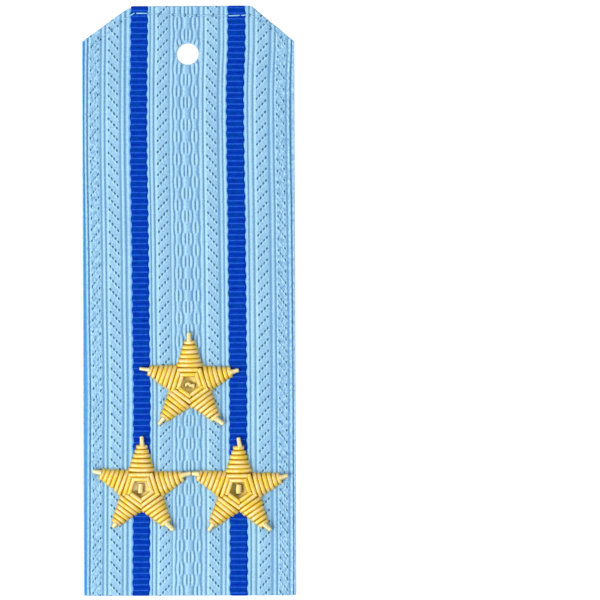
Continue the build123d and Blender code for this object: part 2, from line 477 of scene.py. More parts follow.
def sequin_material():
    """Worn gilt, which is paler, darker or browner in places."""
    # Gilt with painted reflection where it is paler and painted shade where it is darker, and browner in
    # places.
    n = Nodes("sequin_gilt")
    place = n.place()
    patch = place.noise(900.0, 3.0)
    pale, dark, brown = n.attribute("cup_shading", "Vector").split()
    colour = n.mix(patch.ramp(0.3, 0.7), *SEQUIN_GOLD)
    # Painted reflection where the cup is pale, and painted shade where it is dark
    colour = n.mix(pale, colour, SEQUIN_REFLECTION)
    colour = n.mix(brown, colour, SEQUIN_BROWN)
    colour = n.mix(dark, colour, SEQUIN_SHADE)
    return n.finish(colour, patch * 0.2 + 0.50, place.noise(4000.0, 2.0), 0.00001, Metallic=0.25)


THREAD_TWIST = 0.00022


def thread_material():
    """Twisted thread, ribbon blue, and paler where it crosses a stripe."""
    n = Nodes("sewing_thread")
    place = n.place()
    x, y, _ = place.split()
    twist = (x + y).sine(THREAD_TWIST)
    strand = twist * 0.25 + place.noise(3000.0, 2.0)
    plain = n.mix(strand, (0.26, 0.53, 0.76), (0.42, 0.72, 0.92))
    bright = n.mix(strand, (0.22, 0.64, 0.88), (0.45, 0.86, 0.98))
    colour = n.mix(n.attribute("bright"), plain, bright)
    return n.finish(colour, 0.6, twist, 0.00003, Sheen_Weight=0.2)


# The weave's bands

Band = namedtuple("Band", "form end cells")
MIDDLE_FIELD = (  # from the middle line out to the stripe, by where each band ends
    Band("cable", 2.94, 24),
    Band("rib", 4.0, 7),
    Band("twill", 7.6, 12),
    Band("rib", 8.6, 6),
    Band("rib", STRIPE_OFFSET - STRIPE_WIDTH / 2, 6),
)
BED = (Band("bed", STRIPE_OFFSET + STRIPE_WIDTH / 2, 4),)
SIDE_FIELD = (  # from the stripe out to the long edge
    Band("rib", 14.65, 7),
    Band("rib", 15.75, 6),
    Band("twill", 19.45, 12),
    Band("rib", 20.5, 6),
    Band("twill", 23.45, 10),
    Band("rib", EDGE_GROOVE, 8),
    Band("rib", EDGE_GROOVE + EDGE_RIB, 8),
)
CABLE_EDGE = MIDDLE_FIELD[0].end
OUTER_TWILL = SIDE_FIELD[3].end
# Which way the pinholes climb, for the left half's bands from the middle out, and the y of a hole of
# each band's leftmost column
TWILL_LEANS = (1, -1, 1)
PINHOLE_ROWS = {-1: (18.90, 18.78, 19.51), 1: (20.62, 20.68, 19.74)}

# From the middle out: the width of the groove on each band's left, and how much paler the band is
GROOVES = {
    -1: (0, 0, 0.13, 0.05, 0, 0, 0.18, 0.17, 0.16, 0.17, 0.08, 0.15, 0),
    1: (0, 0.12, 0.08, 0.20, 0.05, 0, 0.10, 0, 0.08, 0.20, 0.08, 0.20, 0),
}
PALER = {
    -1: (0, 0, 0, -0.05, 0, 0, -0.17, 0, 0.03, 0, -0.03, 0.05, 0),
    1: (0, -0.05, 0.02, -0.05, 0, 0, -0.17, -0.08, 0, -0.15, -0.05, -0.05, 0),
}

Stretch = namedtuple("Stretch", "form low high cells lean hole_row groove paler")


def half_bands(side):
    """The bands from the middle to one long edge, each as a stretch of the pattern's x."""
    found = []
    twills = iter(zip(TWILL_LEANS, PINHOLE_ROWS[side]))
    here = 0.0
    for band, groove, paler in zip(MIDDLE_FIELD + BED + SIDE_FIELD, GROOVES[side], PALER[side]):
        lean, hole_row = next(twills) if band.form == "twill" else (0, 0.0)
        low, high = sorted((side * here, side * band.end))
        found.append(Stretch(band.form, low, high, band.cells, -side * lean, hole_row, groove, paler))
        here = band.end
    return found


STRETCHES = half_bands(-1)[::-1] + half_bands(1)


def from_border(x):
    """How far a place across the pattern is from the nearest long edge of a stripe."""
    return np.abs(np.abs(np.abs(x) - STRIPE_OFFSET) - STRIPE_WIDTH / 2)


def cable_wave(y):
    """1 where the middle cords part, -1 where the ones beside them do."""
    return np.cos(2 * np.pi * (y - CABLE_OPENS) / CABLE_PERIOD)


def pattern_columns():
    """The x of every column of the mesh, from left to right, inside the turned edges."""
    limit = HALF_WIDTH - EDGE_ROUND
    columns = [-HALF_WIDTH + LEFT_CUT[0], HALF_WIDTH - RIGHT_CUT[0]]
    for stretch in STRETCHES:
        columns += list(np.linspace(stretch.low, stretch.high, stretch.cells, endpoint=False))
    return np.array([-limit, *sorted(x for x in columns if abs(x) < limit - 0.05), limit])


# The cable's cords. A wavy groove divides it in a middle and two sides. Each is one wide cord or a few
# narrow ones, whose places and half widths are shares of half the way from groove to groove.
Cord = namedtuple("Cord", "place half")
WHOLE = (Cord(0.0, 1.0),)
PARTED_MIDDLE = (Cord(-0.66, 0.34), Cord(0.0, 0.27), Cord(0.66, 0.34))
PARTED_SIDE = (Cord(-0.49, 0.48), Cord(0.54, 0.46))
GROOVE_OUT = 1.24
GROOVE_SWING = 0.13
GROOVE_WIDTH = 0.13
CABLE_FLOOR = 0.10


def cords(t, side, group):
    """The relief and the painted light of cords side by side. A wide cord is flat, and its painted light is
    palest on its left.
    """
    relief = np.full(t.shape, CABLE_FLOOR)
    light = relief.copy()
    for cord in group:
        across = np.clip((t - cord.place) / cord.half, -1, 1)
        lift = (1 - np.abs(across) ** 2.4) ** 0.8
        across = across * side
        if group is WHOLE:
            tone = lift * (0.58 + 0.58 * bell(across + 0.48, 0.24))
            lift = 0.65 * lift
        else:
            tone = lift * (1 - 0.12 * across)
        relief = np.maximum(relief, lift)
        light = np.maximum(light, tone)
    return relief, light


def cable_at(x, y):
    """The middle of the weave: cords that part round small slots, by turns in its middle and beside it."""
    wave = cable_wave(y)
    opened = smooth(0.5 + 2.5 * wave)
    groove = GROOVE_OUT + GROOVE_SWING * wave
    half, side = np.abs(x), np.where(x < 0, -1, 1)

    def blend(t, side, *groups):
        first, second = (cords(t, side, group) for group in groups)
        return [opened * a + (1 - opened) * b for a, b in zip(first, second)]

    middle = blend(x / groove, 1, PARTED_MIDDLE, WHOLE)
    sides = blend(2 * (half - groove) / (CABLE_EDGE - groove) - 1, side, WHOLE, PARTED_SIDE)
    # The grooves are lower and darkened with painted shade
    dip = bell(half - groove, GROOVE_WIDTH) + 0.7 * bell(half - CABLE_EDGE, GROOVE_WIDTH)
    relief, light = (np.where(half < groove, a, b) for a, b in zip(middle, sides))
    return relief - 0.3 * dip, light - 0.28 * dip


def rib_light(across, relief, paler):
    """Painted light: ribs are a little paler on their left."""
    return relief * (1 - 0.22 * across) + paler * relief


def twill_light(across, middle, paler):
    """Painted light: a twill band is palest along its left edge, and the outer bands are paler on their
    right again.
    """
    edge = smooth((1 - np.abs(across)) / 0.12)
    margin = bell(across + 0.82, 0.15)
    tilt = 0.15 * smooth((middle - 14) / 8)
    return edge * (0.60 + 0.55 * margin + tilt * across) + paler


LEFT_GROOVE = -23.50  # a second groove, which only the left edge shows


def relief_at(x, y):
    """How high the weave stands at a point of the pattern, from 0 to 1, and how pale its painted light and
    shade make it.
    """
    relief = np.zeros(x.shape)
    light = relief.copy()
    for stretch in STRETCHES:
        here = (x >= stretch.low - 1e-9) & (x <= stretch.high + 1e-9)
        low, high = stretch.low + stretch.groove, stretch.high
        across = 2 * np.clip((x[here] - low) / (high - low), 0, 1) - 1
        if stretch.form == "rib":
            relief[here] = (1 - across ** 2) ** 0.8
            light[here] = rib_light(across, relief[here], stretch.paler)
        elif stretch.form == "twill":
            relief[here] = 0.25 * smooth((1 - np.abs(across)) / 0.1) + 0.55 * (1 - across ** 2) ** 0.5
            light[here] = twill_light(across, abs(low + high) / 2, stretch.paler)
        elif stretch.form == "cable":
            relief[here], light[here] = cable_at(x[here], y[here])
        else:
            relief[here] = 1 - BED_DEPTH / RIB_HEIGHT
    # Painted shade in the grooves beside the long edges, and painted light along the stripes' edges
    groove = bell(np.abs(x) - EDGE_GROOVE, np.where(x < 0, 0.21, 0.12))
    groove = groove + 0.55 * bell(x - LEFT_GROOVE, 0.15)
    light = light + 0.4 * bell(from_border(x), 0.2)
    return relief - 0.6 * groove, light - np.where(x < 0, 0.8, 0.5) * groove


def twill_at(x, y):
    """The twill's coordinates: the column of pinholes, the row along the slant and which way it leans."""
    cells = np.zeros(x.shape + (3,))
    nearest = np.full(x.shape, np.inf)
    first, last = TWILL_MARGIN
    for stretch in (s for s in STRETCHES if s.form == "twill"):
        low, high = stretch.low, stretch.high
        outside = np.maximum(low - x, x - high)
        here = outside < nearest
        nearest[here] = outside[here]
        column = TWILL_COLUMNS * ((x - low) / (high - low) - first) / (1 - first - last)
        climb = stretch.lean * TWILL_RISE * (column - 0.5)
        row = (y - stretch.hole_row - climb) / PERIOD + 0.5
        lean = np.where(outside < 1e-6, stretch.lean, 0)
        cells[here] = np.stack([column, row, lean], axis=-1)[here]
    return cells


# How far the weave lies sideways from its even place, at pattern places across the board
PULLS = (
    (-24.65, 0.0), (-24.42, -0.04), (-23.45, -0.10), (-20.5, 0.02), (-19.45, -0.01), (-15.75, -0.11),
    (-14.65, -0.14), (-13.45, 0.09), (-9.58, 0.03), (-8.6, -0.28), (-7.6, -0.33), (-4.0, -0.26),
    (-2.94, -0.40), (0.0, -0.37), (2.94, -0.42), (4.0, -0.30), (7.6, -0.38), (8.6, -0.31),
    (9.58, -0.22), (13.45, -0.21), (14.65, -0.43), (15.75, -0.31), (19.45, -0.34), (20.5, -0.17),
    (23.45, -0.26), (24.42, -0.20), (24.65, 0.0),
)
# How far it wanders besides, at distances from the cut end
Drift = namedtuple("Drift", "from_end left middle right")
DRIFTS = (
    Drift(0, 0.08, 0.08, 0.20),
    Drift(10, 0.02, 0.02, 0.15),
    Drift(16, -0.10, -0.12, -0.14),
    Drift(20, -0.12, -0.19, -0.25),
    Drift(27, -0.17, -0.21, -0.26),
    Drift(37, -0.16, -0.16, -0.16),
    Drift(48, 0.0, 0.0, 0.0),
    Drift(59, 0.13, 0.13, 0.07),
    Drift(69, 0.17, 0.17, 0.15),
    Drift(80, 0.28, 0.26, 0.20),
    Drift(93, 0.42, 0.42, 0.27),
    Drift(102, 0.32, 0.32, 0.23),
    Drift(127, 0.17, 0.24, 0.32),
    Drift(135, 0.10, 0.16, 0.27),
    Drift(139, 0.08, 0.12, 0.24),
)
SCALLOP_SPREAD = 0.5  # how far from a stripe's edge the weave swings with it
SWAY_SPREAD = 0.6


def drifted(x, y):
    """The real x of a point of the pattern."""
    left, middle, right = (read_table(HALF_LENGTH - y, DRIFTS, column) for column in (1, 2, 3))
    drift = middle + np.clip(np.abs(x) / STRIPE_OFFSET, 0, 1) * (np.where(x < 0, left, right) - middle)
    limit = HALF_WIDTH - EDGE_ROUND
    drift = drift * smooth((limit - np.abs(x)) / (limit - EDGE_GROOVE))
    swing = SCALLOP * np.cos(2 * np.pi * (y - SCALLOP_OUT) / PERIOD) * bell(from_border(x), SCALLOP_SPREAD)
    sway = CABLE_SWING * cable_wave(y) * bell(np.abs(np.abs(x) - CABLE_EDGE), SWAY_SPREAD)
    return x + read_table(x, PULLS) + drift + (swing - sway) * np.sign(x)


# Meshes

def mesh_object(name, points, faces):
    """A smooth mesh object from points in millimetres."""
    data = bpy.data.meshes.new(name)
    data.from_pydata((np.asarray(points) * MM).tolist(), [], faces)
    data.polygons.foreach_set("use_smooth", [True] * len(data.polygons))
    return add_object(name, data)


def set_attribute(made, name, values):
    """One number or one vector for each point."""
    values = np.asarray(values, np.float32)
    kind, field = ("FLOAT", "value") if values.ndim == 1 else ("FLOAT_VECTOR", "vector")
    attribute = made.data.attributes.new(name, kind, "POINT")
    attribute.data.foreach_set(field, values.ravel())


def grid_faces(rows, columns, offset=0, closed=False, looped=False):
    """Quads between the points of a grid that is stored row by row.

    Closed, each row is a ring. Looped, the last row is joined to the first.
    """
    faces = []
    for j in range(rows if looped else rows - 1):
        here = offset + j * columns
        there = offset + (j + 1) % rows * columns
        for i in range(columns if closed else columns - 1):
            k = (i + 1) % columns
            faces.append((here + i, here + k, there + k, there + i))
    return faces


def tube_faces(rows, sides, offset=0):
    """The faces of a tube with both ends closed."""
    last = offset + (rows - 1) * sides
    faces = grid_faces(rows, sides, offset, closed=True)
    faces.append(tuple(range(offset, offset + sides))[::-1])
    faces.append(tuple(range(last, last + sides)))
    return faces


# The board

def top_end(x):
    """How far along the board the flat of the face reaches at x, up to the turned edge."""
    ends = np.full(np.shape(x), TOP_END - EDGE_ROUND)
    for side, (across, along), corner in ((-1, LEFT_CUT, LEFT_CORNER), (1, RIGHT_CUT, RIGHT_CORNER)):
        slope = along / across
        # The turned edge runs inside the cut, EDGE_ROUND away from it
        inset = EDGE_ROUND * math.hypot(1, slope)
        line = TOP_END + slope * (HALF_WIDTH - across) - inset - slope * side * x
        ends = (ends + line - np.hypot(ends - line, 2 * corner)) / 2
    return ends


# The hem's seam, as places on its line, and how far across the needle went in
SEAM = (
    (-24.2, 58.3), (-22.3, 60.1), (-15.7, 65.7), (-12.6, 67.6), (-8.9, 67.5), (0.0, 67.1),
    (9.75, 66.9), (14.7, 67.1), (17.5, 65.5), (24.4, 60.0),
)
NEEDLE_HOLES = (
    -22.4, -20.6, -17.9, -15.7, -12.3, -9.3, -6.6, -3.5, -0.5, 2.0, 5.9, 9.4, 12.4, 14.6, 17.1, 19.5, 22.0,
)
SEAM_WIDTH = 0.32
SEAM_DEPTH = 0.07
NEEDLE_WIDTH = 0.26
NEEDLE_DEPTH = 0.3
NEEDLE_SHADE = 1.3


def seam_y(x):
    return read_table(x, SEAM)


def seam_dent(x, y):
    """How far the seam pulls the face down, and how near a point is to a needle hole, from 0 to 1."""
    step = 0.1
    slope = (seam_y(x + step) - seam_y(x - step)) / (2 * step)
    away = (y - seam_y(x)) / np.hypot(1, slope)
    hole = np.zeros(x.shape)
    for place in NEEDLE_HOLES:
        hole = np.maximum(hole, bell(np.hypot(x - place, y - seam_y(place)), NEEDLE_WIDTH))
    return SEAM_DEPTH * bell(away, SEAM_WIDTH) + NEEDLE_DEPTH * hole, hole


MAIN_ROWS = 300
END_ZONE = 15.0  # the rows of this stretch follow the cut corners
END_ROWS = (18, 30)  # in the zone's first part and in the hem
HEM_SHARE = 0.3  # the hem's part of the zone


def board_grid():
    """The pattern's x and y at every point of the face."""
    x = pattern_columns()
    split = TOP_END - END_ZONE
    main = np.linspace(BOTTOM_END + EDGE_ROUND, split, MAIN_ROWS, endpoint=False)
    main = np.repeat(main[:, None], len(x), axis=1)
    before = np.linspace(0, 1 - HEM_SHARE, END_ROWS[0], endpoint=False)
    hem = np.linspace(1 - HEM_SHARE, 1, END_ROWS[1])
    end = split + np.concatenate([before, hem])[:, None] * (top_end(x)[None, :] - split)
    y = np.vstack([main, end])
    return np.repeat(x[None, :], len(y), axis=0), y


def outward(loop):
    """The direction out of a closed loop at each point, turned gradually round the corners."""
    ahead = np.roll(loop, -1, axis=0) - loop
    length = np.linalg.norm(ahead, axis=1)
    edge_normal = np.stack([ahead[:, 1], -ahead[:, 0]], axis=1) / length[:, None]
    places = np.concatenate([[0], np.cumsum(length)])[:-1]
    gap = np.abs(places[:, None] - (places + length / 2)[None, :])
    gap = np.minimum(gap, length.sum() - gap)
    weight = bell(gap, CORNER_SPREAD) * length[None, :] + 1e-12
    return unit(weight @ edge_normal)


SIDE_ANGLE = (0.1, 0.4)  # between these, an edge's outward y turns its ribs from a side's into an end's
END_CALM = 0.75  # how much of their height the ribs lose round the two ends
# The share of their painted light that the ribs keep under the back
UNDER_SHARE = 0.4  # how pale the ribs still are under the back
SKIRT_LIGHT = 1.15
SKIRT_SHADE = 0.25


def skirt_steps():
    """The rows of the skirt: how far out each lies, how high, and how far it has turned from facing up."""
    steps = []
    for turn in np.radians([8, 16, 28, 42, 58, 74, 90]):
        steps.append((EDGE_ROUND * math.sin(turn), GROUND_Z - EDGE_ROUND * (1 - math.cos(turn)), turn))
    for share in (0.3, 0.6, 1.0):
        height = GROUND_Z - EDGE_ROUND + share * (BACK_ROUND - GROUND_Z + EDGE_ROUND)
        steps.append((EDGE_ROUND, height, math.pi / 2))
    for turn in np.radians([35, 65, 90]):
        out = EDGE_ROUND - BACK_ROUND * (1 - math.cos(turn))
        steps.append((out, BACK_ROUND * (1 - math.sin(turn)), math.pi / 2 + turn))
    return steps


def skirt_rows(border, weave, twill, relief):
    """The rows below the face's border: their points, both patterns' coordinates and their painted light
    and shade.

    The skirt turns over the edge, goes down the side and turns under the back, where its ribs end.
    """
    normal = outward(weave[:, :2])
    low, high = SIDE_ANGLE
    end_facing = np.clip((np.abs(normal[:, 1]) - low) / (high - low), 0, 1)
    travelled = 0.0
    last = (0.0, GROUND_Z)
    for out, height, turn in skirt_steps():
        travelled += math.hypot(out - last[0], height - last[1])
        last = (out, height)
        under = turn > math.pi / 2 + 0.1
        rib_height = 0.0 if under else RIB_HEIGHT
        rib = (travelled + HALF_WIDTH - EDGE_ROUND - EDGE_GROOVE) / EDGE_RIB
        side_rib = (1 - (2 * (rib % 1) - 1) ** 2) ** 0.8
        lift = end_facing * relief + (1 - end_facing) * side_rib
        lift = np.clip(lift, 0, 1) * (UNDER_SHARE if under else 1.0)
        away = rib_height * (lift - 1) * (1 - END_CALM * end_facing)
        xy = border[:, :2] + normal * out + normal * math.sin(turn) * away[:, None]
        z = height + rib_height * lift * math.cos(turn)
        weave_row, twill_row = weave.copy(), twill.copy()
        weave_row[:, :2] += normal * travelled
        twill_row[:, 1] += normal[:, 1] * travelled / PERIOD
        yield np.column_stack([xy, z]), weave_row, twill_row, SKIRT_LIGHT * lift - SKIRT_SHADE


def make_board():
    """The whole board as one closed skin: woven face, turned edges, plain back and the hole's wall."""
    x, y = board_grid()
    relief, light = relief_at(x, y)
    real_x = drifted(x, y)
    dent, needle = seam_dent(real_x, y)
    outermost = smooth((np.abs(x) - OUTER_TWILL) / 0.3)
    face = np.stack([real_x, y, GROUND_Z + RIB_HEIGHT * relief - dent], axis=-1).reshape(-1, 3)
    weave = np.stack([x, y, outermost], axis=-1).reshape(-1, 3)
    twill = twill_at(x, y).reshape(-1, 3)
    light = (light - NEEDLE_SHADE * needle).ravel()
    faces = grid_faces(*x.shape)

    # The loop round the face, anticlockwise from the lower left corner, and the skirt that hangs from it
    index = np.arange(x.size).reshape(x.shape)
    loop = np.concatenate([index[0, :-1], index[:-1, -1], index[-1, :0:-1], index[:0:-1, 0]])
    layers = [(face, weave, twill, light)]
    previous = loop
    for layer in skirt_rows(face[loop], weave[loop], twill[loop], relief.ravel()[loop]):
        row = previous.max() + 1 + np.arange(len(loop))
        faces += np.column_stack([previous, row, np.roll(row, -1), np.roll(previous, -1)]).tolist()
        layers.append(layer)
        previous = row
    points, weaves, twills, lights = (np.concatenate(values) for values in zip(*layers))

    made = mesh_object("galloon_cloth", points, faces)
    set_attribute(made, "light", lights)
    set_attribute(made, "weave", weaves)
    set_attribute(made, "twill", twills)
    for material in (ribbon_material(), backing_material(), cut_edge_material()):
        made.data.materials.append(material)
    cut_hole_and_close(made)
    stand_in(made, "galloon")
    return made


HOLE_LIP = 0.25  # how much wider than the hole the face is cut
# The hole's wall: how much wider each row is than the hole, and how far above the crests
WALL_ROWS = ((0.12, -0.06), (0.02, -0.22), (0.0, -0.5), (0.0, -1.2), (0.0, -2.0), (0.0, -CREST_Z))
BACK_SLOT, WALL_SLOT = 1, 2  # of the board's materials


def of_kind(kind, items):
    return [item for item in items if isinstance(item, kind)]


def cut_hole_and_close(made):
    """Opens the button hole in the face, gives it a wall and closes the back round it."""
    mesh = bmesh.new()
    mesh.from_mesh(made.data)
    centre = Vector(HOLE_XY * MM)

    def from_hole(vertex):
        return (vertex.co.xy - centre).length / MM

    def move_out(vertex, radius):
        vertex.co.xy = centre + (vertex.co.xy - centre).normalized() * radius * MM

    gone = [f for f in mesh.faces if min(from_hole(v) for v in f.verts) < HOLE_RADIUS + HOLE_LIP + 0.04
            and f.calc_center_median().z > 0.5 * CREST_Z * MM]
    bmesh.ops.delete(mesh, geom=gone, context="FACES")
    ring = [e for e in mesh.edges if e.is_boundary and from_hole(e.verts[0]) < HOLE_RADIUS + 2]
    for vertex in {v for e in ring for v in e.verts}:
        move_out(vertex, HOLE_RADIUS + HOLE_LIP)
    for row, (wider, above) in enumerate(WALL_ROWS):
        grown = bmesh.ops.extrude_edge_only(mesh, edges=ring)["geom"]
        for vertex in of_kind(bmesh.types.BMVert, grown):
            move_out(vertex, HOLE_RADIUS + wider)
            # The first row still follows the weave
            vertex.co.z = (vertex.co.z if row == 0 else CREST_Z * MM) + above * MM
        if row > 0:
            for face in of_kind(bmesh.types.BMFace, grown):
                face.material_index = WALL_SLOT
        ring = [e for e in of_kind(bmesh.types.BMEdge, grown) if e.is_boundary]
    for face in fill_back(mesh, centre):
        face.material_index = BACK_SLOT
        face.smooth = False
    bmesh.ops.recalc_face_normals(mesh, faces=mesh.faces)
    mesh.to_mesh(made.data)
    mesh.free()


def fill_back(mesh, centre):
    """Closes the back in two parts, above and below a line through the button hole."""
    border = {v for e in mesh.edges if e.is_boundary for v in e.verts}

    def turned(vertex):
        away = vertex.co.xy - centre
        return math.atan2(away.y, away.x) % (2 * math.pi)

    near = [v for v in border if (v.co.xy - centre).length < (HOLE_RADIUS + 1) * MM]
    inner = sorted(near, key=turned)
    outer = sorted(border - set(near), key=turned)

    def half(ring, from_turn, to_turn):
        first = min(range(len(ring)), key=lambda k: abs(turned(ring[k]) - from_turn))
        last = min(range(len(ring)), key=lambda k: abs(turned(ring[k]) - to_turn))
        return ring[first:last + 1] if last > first else ring[first:] + ring[:last + 1]

    upper = half(outer, 0, math.pi) + half(inner, 0, math.pi)[::-1]
    lower = half(outer, math.pi, 0) + half(inner, math.pi, 0)[::-1]
    return [mesh.faces.new(upper), mesh.faces.new(lower)]


# The stripes

STRIPE_LINES = {-1: 20.10, 1: 20.77}  # the y of one line between two cross ribs
STRIPE_ROWS_PER_RIB = 9
STRIPE_RIB_HEIGHT = 0.07
STRIPE_DROP = 0.1
STRIPE_COLUMNS = 15
STRIPE_TUCK = 0.15  # how far its edges reach under the ribbon's
STRIPE_SINK = 0.16  # how much lower its edges lie
STRIPE_SHORT = 0.45  # how far above the back's rounding it ends
STRIPE_SNUG = 0.2  # how much closer it lies where it turns over the end


def make_stripe(side):
    """A dark band with cross ribs that turns over both ends of the board."""
    quarter = EDGE_ROUND * math.pi / 2
    flat = (TOP_END - BOTTOM_END) / 2 - EDGE_ROUND
    middle = (TOP_END + BOTTOM_END) / 2
    reach = flat + quarter + (CREST_Z - BACK_ROUND - STRIPE_SHORT)
    width = STRIPE_WIDTH + 2 * STRIPE_TUCK
    s = np.linspace(-reach, reach, int(2 * reach / STRIPE_RIB * STRIPE_ROWS_PER_RIB))
    u = np.linspace(-width / 2, width / 2, STRIPE_COLUMNS)
    s, u = np.meshgrid(s, u, indexing="ij")
    ribs = (middle + s - STRIPE_LINES[side]) / STRIPE_RIB
    phase = ribs - np.floor(ribs)
    wavy = 0.5 + 0.5 * np.cos(2 * np.pi * phase * 3)
    relief = np.clip(np.sin(np.pi * phase) ** 0.6 * (0.85 + 0.15 * wavy), 0, 1)
    sunk = np.clip((np.abs(u) - STRIPE_WIDTH / 2 + 0.15) / 0.3, 0, 1) * STRIPE_SINK
    # Past the flat the band bends round the edge and hangs down the end
    past = np.clip(np.abs(s) - flat, 0, None)
    bend = np.clip(past / EDGE_ROUND, 0, math.pi / 2)
    down = np.clip(past - quarter, 0, None)
    height = CREST_Z - STRIPE_DROP + (STRIPE_RIB_HEIGHT * (relief - 1) - sunk)
    radius = EDGE_ROUND + height - GROUND_Z - STRIPE_SNUG
    y = middle + np.where(past > 0, flat + radius * np.sin(bend), np.abs(s)) * np.sign(s)
    z = np.where(past > 0, height - radius * (1 - np.cos(bend)) - down, height)
    pattern_x = side * STRIPE_OFFSET + u
    x = drifted(pattern_x, middle + np.clip(s, -flat, flat))
    name = "stripe_left" if side < 0 else "stripe_right"
    made = mesh_object(f"{name}_silk", np.stack([x, y, z], axis=-1).reshape(-1, 3), grid_faces(*s.shape))
    weave = np.stack([pattern_x, middle + s - STRIPE_LINES[side], 0 * s], axis=-1)
    set_attribute(made, "weave", weave.reshape(-1, 3))
    made.data.materials.append(STRIPE_SILK)
    stand_in(made, name)


# The stars. On an arm, u runs outward from the star's middle and v to the left.

SIDES = 5
STRAND_RADIUS = 0.56
SECTION_POWER = 3.3  # above 2, so a strand's section is squarer than a circle
COIL_PITCH = 0.2
COIL_SAMPLES = 4
COIL_DEPTH = 0.09  # how deep the lines between the turns of wire are, as a share of the radius
COIL_MOUTH = 0.45  # of the radius, where the coil's open end dips in
MOUTH_DEPTH = 0.25  # of the radius
TUBE_SIDES = 14
FLARE_LENGTH = 0.85  # along a flared strand, until it is nearly its own width
ARM_STRANDS = 6
ARM_BASE = (3.24, 1.9)  # half width and height of an arm where it starts
ARM_TIP = (1.13, 1.1)
ARM_FOOT = -0.3  # an arm's sides and its padding reach a little into the ribbon
WINDOW_APOTHEM = 1.70
ARM_END = corners_of("star_top_arm_1")[1][1] - middle_of("star_top_sequin")[1]
STRAND_PITCH = (ARM_END - WINDOW_APOTHEM) / (ARM_STRANDS + 2)
ARM_START = WINDOW_APOTHEM + 2 * STRAND_PITCH


def resampled(path, step):
    """The path with points one step apart, and how far along it each lies."""
    lengths = np.linalg.norm(np.diff(path, axis=0), axis=1)
    along = np.concatenate([[0], np.cumsum(lengths)])
    at = np.linspace(0, along[-1], max(4, int(round(along[-1] / step)) + 1))
    return np.stack([np.interp(at, along, path[:, k]) for k in range(3)], axis=1), at


def rings_round(line, sides, side=None):
    """The angles round a line, where they point from each of its places, and where the line itself goes.

    They start upward and turn to the side, which is level unless it is given.
    """
    ahead = unit(np.gradient(line, axis=0))
    side = np.cross(ahead, (0, 0, 1)) if side is None else np.broadcast_to(side, ahead.shape)
    side = unit(side - (side * ahead).sum(1)[:, None] * ahead)
    up = np.cross(side, ahead)
    angles = np.linspace(0, 2 * math.pi, sides, endpoint=False)
    turn = angles[None, :, None]
    return angles, np.cos(turn) * up[:, None, :] + np.sin(turn) * side[:, None, :], ahead


def purl(path, radius, side=None, turn=0.0, flare=0.0):
    """A strand of coiled wire along a path: its points, faces and how far each point is down its flank.

    A flared strand is wider by that share where it starts, and its far end is rounded.
    """
    line, at = resampled(path, COIL_PITCH / COIL_SAMPLES)
    angles, ring, ahead = rings_round(line, TUBE_SIDES, side)
    coil = np.abs(np.cos(np.pi * (at[:, None] / COIL_PITCH) - angles[None, :] / 2 + turn))
    power = SECTION_POWER
    section = (np.abs(np.cos(angles)) ** power + np.abs(np.sin(angles)) ** power) ** (-1 / power)
    ends = 1 + flare * bell(at, FLARE_LENGTH)
    if flare:
        ends *= np.clip((at[-1] - at) / (0.6 * radius) + 0.3, 0, 1) ** 0.5
    ends[[0, -1]] *= 0.75
    reach = radius * section[None, :] * (1 - COIL_DEPTH * (1 - coil)) * ends[:, None]
    points = line[:, None, :] + reach[:, :, None] * ring
    first = line[0] + COIL_MOUTH * (points[0] - line[0]) + MOUTH_DEPTH * radius * ahead[0]
    last = line[-1] + COIL_MOUTH * (points[-1] - line[-1]) - MOUTH_DEPTH * radius * ahead[-1]
    points = np.array([first, *points, last])
    flank = np.broadcast_to(np.abs(np.sin(angles / 2)), points.shape[:2])
    return points.reshape(-1, 3), tube_faces(len(points), TUBE_SIDES), flank.ravel()


def make_purl(node, strands, place, turn, material, shade=None):
    """Joins strands into one piece, turned about the star's middle and set on its place."""
    points, faces, flanks, shades = [], [], [], []
    offset = 0
    cosine, sine = math.cos(turn), math.sin(turn)
    spin = np.array([[cosine, sine, 0], [-sine, cosine, 0], [0, 0, 1]])
    for strand_points, strand_faces, flank in strands:
        points.append(strand_points @ spin + place)
        faces += [tuple(k + offset for k in f) for f in strand_faces]
        flanks.append(flank)
        shades.append(np.full(len(flank), RNG.random() if shade is None else shade))
        offset += len(strand_points)
    made = mesh_object(f"{node}_purl", np.vstack(points), faces)
    set_attribute(made, "flank", np.concatenate(flanks))
    set_attribute(made, "shade", np.concatenate(shades))
    made.data.materials.append(material)
    stand_in(made, node)


# How far each arm lies to its left of its even place, and by how much more for each millimetre out
Lean = namedtuple("Lean", "shift turn")
LEANS = {
    "star_top": (
        Lean(0.02, 0.0), Lean(-0.15, 0.0), Lean(0.03, -0.04), Lean(0.12, 0.03), Lean(-0.10, -0.04),
    ),
    "star_left": (
        Lean(-0.07, -0.03), Lean(-0.20, -0.05), Lean(0.0, -0.02), Lean(0.02, -0.02), Lean(-0.29, 0.0),
    ),
    "star_right": (
        Lean(0.04, 0.0), Lean(-0.13, -0.03), Lean(-0.10, -0.05), Lean(0.02, -0.03), Lean(-0.34, -0.03),
    ),
}
LEAN_FROM = 6.0
BULGE = 0.03  # how far a strand leans outward for each millimetre below its top
ARCH_POWER = 2 / 2.7  # below 1, so an arm's section is squarer than an ellipse


def lean_at(lean, u):
    return lean.shift + lean.turn * (u - LEAN_FROM)


def arm_section(share):
    """An arm's half width and height, from its base to its tip."""
    return [base + share * (tip - base) for base, tip in zip(ARM_BASE, ARM_TIP)]


